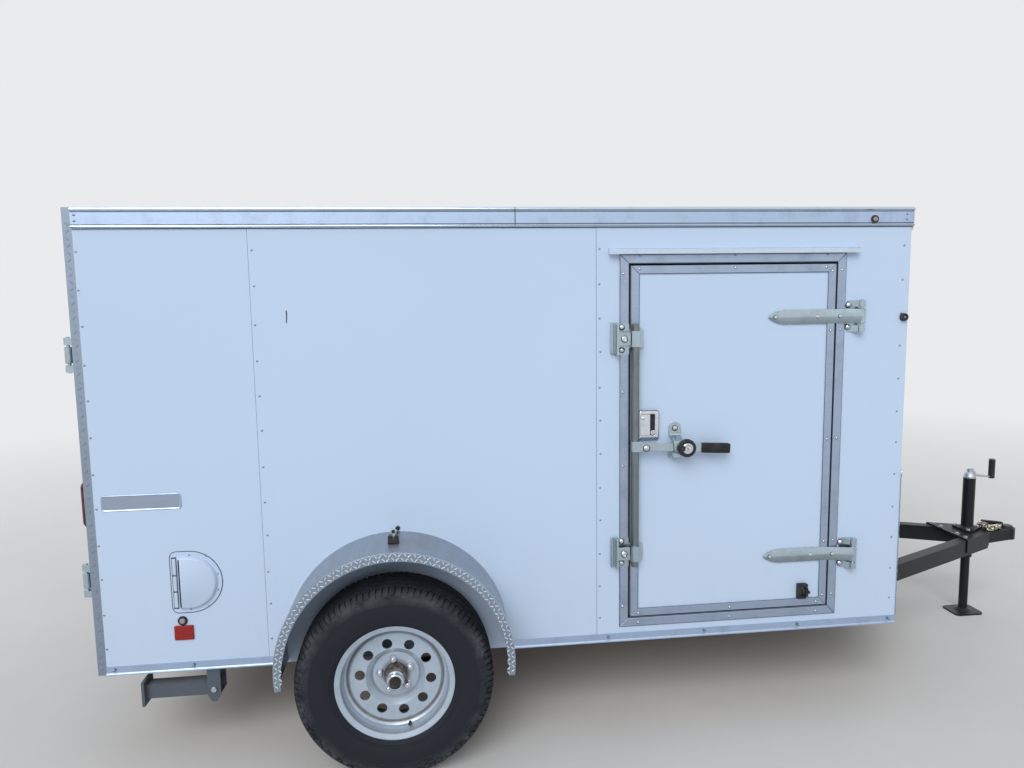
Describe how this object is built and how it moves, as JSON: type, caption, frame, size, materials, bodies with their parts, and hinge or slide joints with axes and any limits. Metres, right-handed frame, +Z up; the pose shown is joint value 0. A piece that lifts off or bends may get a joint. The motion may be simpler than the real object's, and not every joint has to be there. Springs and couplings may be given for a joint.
{
  "type": "enclosed cargo trailer",
  "caption": "Enclosed single-axle cargo trailer with V nose, side door, rear barn doors, aluminium fenders and a tongue jack.",
  "frame": {"origin": "on the ground below the middle of the overall box", "axes": "+X forward to the tongue, +Y to the trailer's left side, +Z up"},
  "size_m": [4.2488, 2, 2.0028],
  "materials": {
    "black_steel": "black enamel",
    "zinc_steel": "zinc plated",
    "axle_steel": "black enamel",
    "spring_steel": "black enamel, dusty",
    "plywood": "bare plywood",
    "skin": "pale blue-white baked enamel",
    "roof_skin": "mill",
    "trim_aluminium": "anodised",
    "tread_plate": "diamond tread",
    "padlock_black": "black",
    "tyre_rubber": "matt",
    "wheel_paint": "silver-grey paint",
    "hub_steel": "machined",
    "fender_aluminium": "smooth with tread plate lip",
    "lamp_lens": "lens",
    "black_rubber": "moulded",
    "vent_enamel": "pale enamel"
  },
  "bodies": {
    "trailer": {"frame_rails": "black_steel", "crossmembers": "black_steel", "tongue_rails": "black_steel", "coupler": "black_steel", "jack_tube": "black_steel", "jack_crank": "zinc_steel", "axle_beam": "axle_steel", "leaf_springs": "spring_steel", "floor_deck": "plywood", "wall_right_rear": "skin", "wall_right_middle": "skin", "wall_right_front": "skin", "wall_left_rear": "skin", "wall_left_middle": "skin", "wall_left_front": "skin", "nose_wall_right": "skin", "nose_wall_left": "skin", "roof": "roof_skin", "edge_trim": "trim_aluminium", "stone_guard": "tread_plate", "rear_frame": "tread_plate", "side_door_frame": "trim_aluminium", "door_brackets": "zinc_steel", "fender_right": "fender_aluminium", "fender_left": "fender_aluminium", "lamps": "lamp_lens", "side_vents": "vent_enamel", "stabiliser_brackets": "zinc_steel"},
    "jack_leg": {"jack_leg": "zinc_steel"},
    "side_door": {"side_door": "skin", "side_door_hardware": "zinc_steel", "padlock": "padlock_black", "door_holdback": "black_rubber"},
    "rear_door_right": {"rear_door_right": "skin", "rear_hardware_right": "zinc_steel"},
    "rear_door_left": {"rear_door_left": "skin", "rear_hardware_left": "zinc_steel"},
    "wheel_right": {"tyre_right": "tyre_rubber", "rim_right": "wheel_paint", "hub_right": "hub_steel"},
    "wheel_left": {"tyre_left": "tyre_rubber", "rim_left": "wheel_paint", "hub_left": "hub_steel"},
    "stabiliser_right": {"stabiliser_leg_right": "zinc_steel"},
    "stabiliser_left": {"stabiliser_leg_left": "zinc_steel"}
  },
  "joints": [
    {"name": "jack_travel", "type": "slide", "parent": "trailer", "child": "jack_leg", "axis": [0, 0, 1], "range_m": [0, 0.27]},
    {"name": "side_door_hinge", "type": "hinge", "parent": "trailer", "child": "side_door", "pos_m": [0.7461, -0.784, 1.1], "axis": [0, 0, 1], "range_deg": [0, 175]},
    {"name": "rear_door_right_hinge", "type": "hinge", "parent": "trailer", "child": "rear_door_right", "pos_m": [-2.1069, -0.738, 1.1], "axis": [0, 0, 1], "range_deg": [0, 205]},
    {"name": "rear_door_left_hinge", "type": "hinge", "parent": "trailer", "child": "rear_door_left", "pos_m": [-2.1069, 0.738, 1.1], "axis": [0, 0, -1], "range_deg": [0, 205]},
    {"name": "wheel_right_spin", "type": "hinge", "parent": "trailer", "child": "wheel_right", "pos_m": [-1.0299, -0.89, 0.344], "axis": [0, 1, 0], "continuous": true},
    {"name": "wheel_left_spin", "type": "hinge", "parent": "trailer", "child": "wheel_left", "pos_m": [-1.0299, 0.89, 0.344], "axis": [0, 1, 0], "continuous": true},
    {"name": "stabiliser_right_fold", "type": "hinge", "parent": "trailer", "child": "stabiliser_right", "pos_m": [-1.6929, -0.72, 0.258], "axis": [0, -1, 0], "range_deg": [0, 90]},
    {"name": "stabiliser_left_fold", "type": "hinge", "parent": "trailer", "child": "stabiliser_left", "pos_m": [-1.6929, 0.72, 0.258], "axis": [0, -1, 0], "range_deg": [0, 90]}
  ]
}
